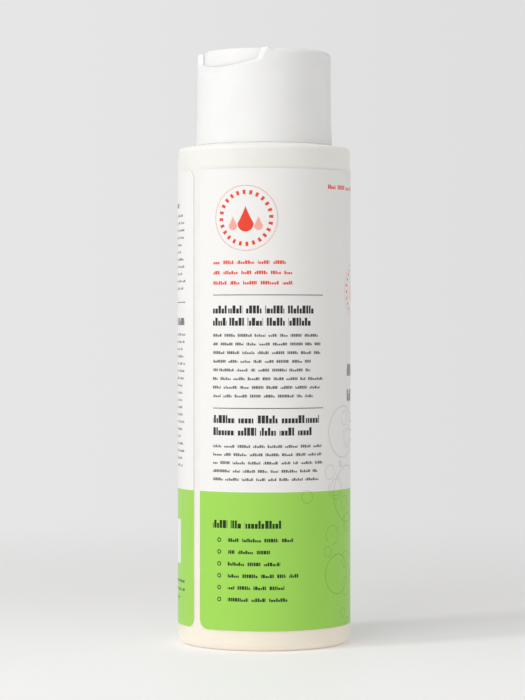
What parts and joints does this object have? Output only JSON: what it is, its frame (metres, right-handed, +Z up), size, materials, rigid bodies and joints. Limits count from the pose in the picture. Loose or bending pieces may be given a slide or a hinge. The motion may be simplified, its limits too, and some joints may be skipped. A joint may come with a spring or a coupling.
{
  "type": "shampoo bottle",
  "caption": "Tall cylindrical shampoo bottle with a wrap-around label and a press-top screw closure.",
  "frame": {"origin": "centre of the foot, on the surface that the bottle stands on", "axes": "+Z up the bottle's axis, +Y towards the closure's thumb scoop, -Y towards its nozzle"},
  "size_m": [0.0624, 0.0624, 0.2127],
  "materials": {
    "bottle": "satin milky polyethylene",
    "label": "satin printed film",
    "closure": "smooth white polypropylene",
    "liner": "white foam"
  },
  "bodies": {
    "bottle": {"bottle": "bottle", "label": "label"},
    "liner": {"liner": "liner"},
    "cap": {"closure_shell": "closure"},
    "disc": {"press_disc": "closure"}
  },
  "joints": [
    {"name": "cap_rise", "type": "slide", "parent": "bottle", "child": "liner", "axis": [0, 0, 1], "range_m": [0, 0.0212]},
    {"name": "cap_turn", "type": "hinge", "parent": "liner", "child": "cap", "pos_m": [0, 0, 0.1964], "axis": [0, 0, 1], "range_deg": [0, 1800]},
    {"name": "disc_tilt", "type": "hinge", "parent": "cap", "child": "disc", "pos_m": [0, 0, 0.2101], "axis": [-1, 0, 0], "range_deg": [0, 20]}
  ],
  "couplings": [
    {"joint": "cap_rise", "follows": "cap_turn", "m_per_rad": 0.00067375}
  ]
}
